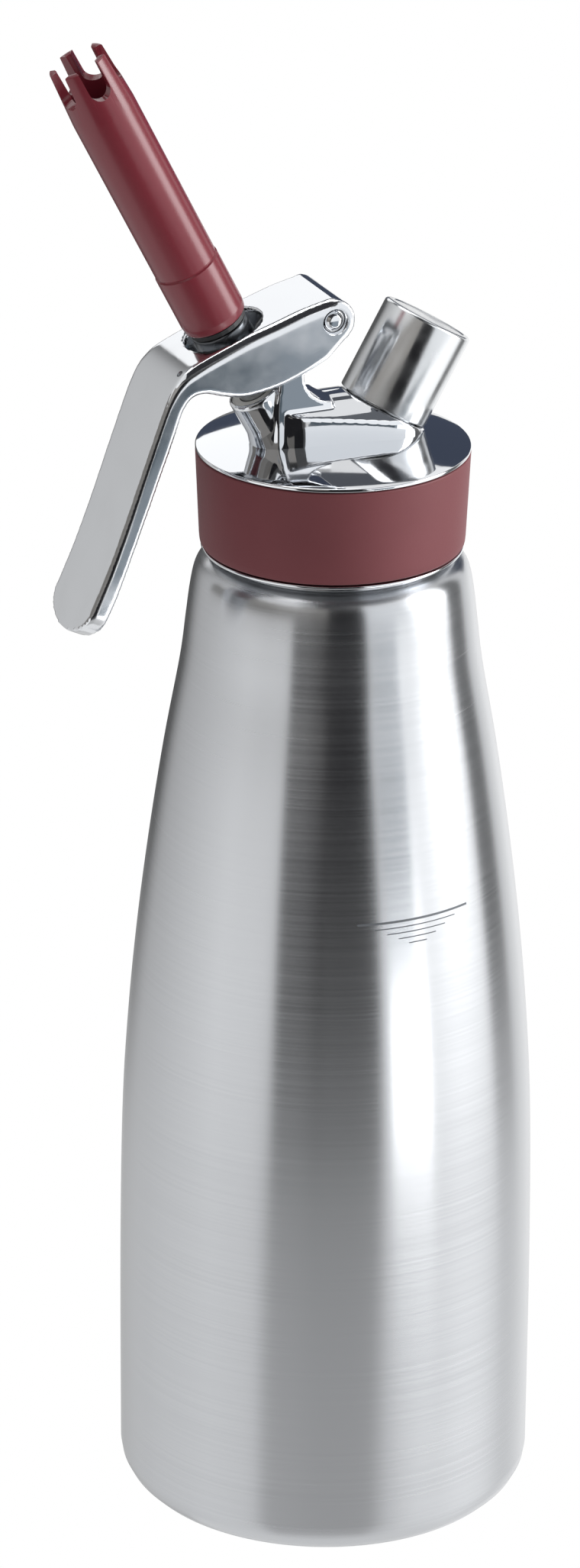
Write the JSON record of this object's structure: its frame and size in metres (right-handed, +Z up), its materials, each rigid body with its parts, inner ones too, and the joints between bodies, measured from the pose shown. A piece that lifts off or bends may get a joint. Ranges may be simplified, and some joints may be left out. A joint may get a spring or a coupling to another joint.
{
  "type": "whipped cream dispenser",
  "caption": "Steel cream whipper: pressure bottle, screw-on head with red grip band, squeeze lever, tilted valve with red tulip nozzle, and capped gas charger port.",
  "frame": {"origin": "centre of the bottle's base, on the surface that it stands on", "axes": "+Z up along the bottle's axis, -X towards the lever's handle and the nozzle's tip, +X towards the charger port"},
  "size_m": [0.1148, 0.096, 0.3544],
  "materials": {
    "bottle_steel": "fine horizontal brushing",
    "polished_steel": "mirror polish",
    "plain_steel": "turned",
    "spring_steel": "drawn wire",
    "red_silicone": "matte",
    "red_plastic": "semi-gloss",
    "black_rubber": "matte",
    "clear_silicone": "satin",
    "white_plastic": "moulded"
  },
  "bodies": {
    "bottle": {"bottle": "bottle_steel"},
    "gasket": {"head_gasket": "red_silicone"},
    "head": {"head_shell": "polished_steel", "grip_band": "red_silicone", "pivot_pin": "plain_steel", "valve_guide": "white_plastic", "valve_cage": "plain_steel", "valve_spring": "spring_steel", "piercing_pin": "plain_steel", "charger_seal": "black_rubber", "check_valve_spring": "spring_steel"},
    "lever": {"lever": "polished_steel"},
    "valve": {"valve_stem": "plain_steel", "valve_o_ring": "black_rubber", "valve_seal": "clear_silicone", "nozzle_adapter": "plain_steel"},
    "nozzle_washer": {"nozzle_seal": "black_rubber"},
    "nozzle": {"decorator_nozzle": "red_plastic", "nozzle_insert": "plain_steel"},
    "liner": {"cap_liner": "black_rubber"},
    "cap": {"protective_cap": "polished_steel"},
    "check_valve": {"check_valve_disc": "black_rubber"}
  },
  "joints": [
    {"name": "head_lift", "type": "slide", "parent": "bottle", "child": "gasket", "axis": [0, 0, 1], "range_m": [0, 0.00701]},
    {"name": "head_turn", "type": "hinge", "parent": "gasket", "child": "head", "pos_m": [0, 0, 0.24], "axis": [0, 0, 1], "range_deg": [0, 720]},
    {"name": "lever_squeeze", "type": "hinge", "parent": "head", "child": "lever", "pos_m": [-0.0045, 0, 0.2888], "axis": [0, -1, 0], "range_deg": [0, 8], "stiffness_Nm_per_rad": 4, "springref_deg": -5.73},
    {"name": "valve_stroke", "type": "slide", "parent": "head", "child": "valve", "axis": [0.4617, 0, -0.887], "range_m": [0, 0.003], "deforming": ["valve_spring"]},
    {"name": "nozzle_lift", "type": "slide", "parent": "valve", "child": "nozzle_washer", "axis": [-0.4617, 0, 0.887], "range_m": [0, 0.0081]},
    {"name": "nozzle_turn", "type": "hinge", "parent": "nozzle_washer", "child": "nozzle", "pos_m": [-0.0275, 0, 0.2871], "axis": [-0.4617, 0, 0.887], "range_deg": [0, 1440]},
    {"name": "cap_lift", "type": "slide", "parent": "head", "child": "liner", "axis": [0.497, 0, 0.8678], "range_m": [0, 0.0121]},
    {"name": "cap_turn", "type": "hinge", "parent": "liner", "child": "cap", "pos_m": [0.012, 0, 0.264], "axis": [0.497, 0, 0.8678], "range_deg": [0, 1440]},
    {"name": "check_valve_lift", "type": "slide", "parent": "head", "child": "check_valve", "axis": [-0.497, 0, -0.8678], "range_m": [0, 0.001], "stiffness_N_per_m": 50, "springref_m": -0.002, "deforming": ["check_valve_spring"]}
  ],
  "couplings": [
    {"joint": "head_lift", "follows": "head_turn", "m_per_rad": 0.00055704},
    {"joint": "valve_stroke", "follows": "lever_squeeze", "m_per_rad": 0.021186},
    {"joint": "nozzle_lift", "follows": "nozzle_turn", "m_per_rad": 0.00031831},
    {"joint": "cap_lift", "follows": "cap_turn", "m_per_rad": 0.00047746}
  ]
}
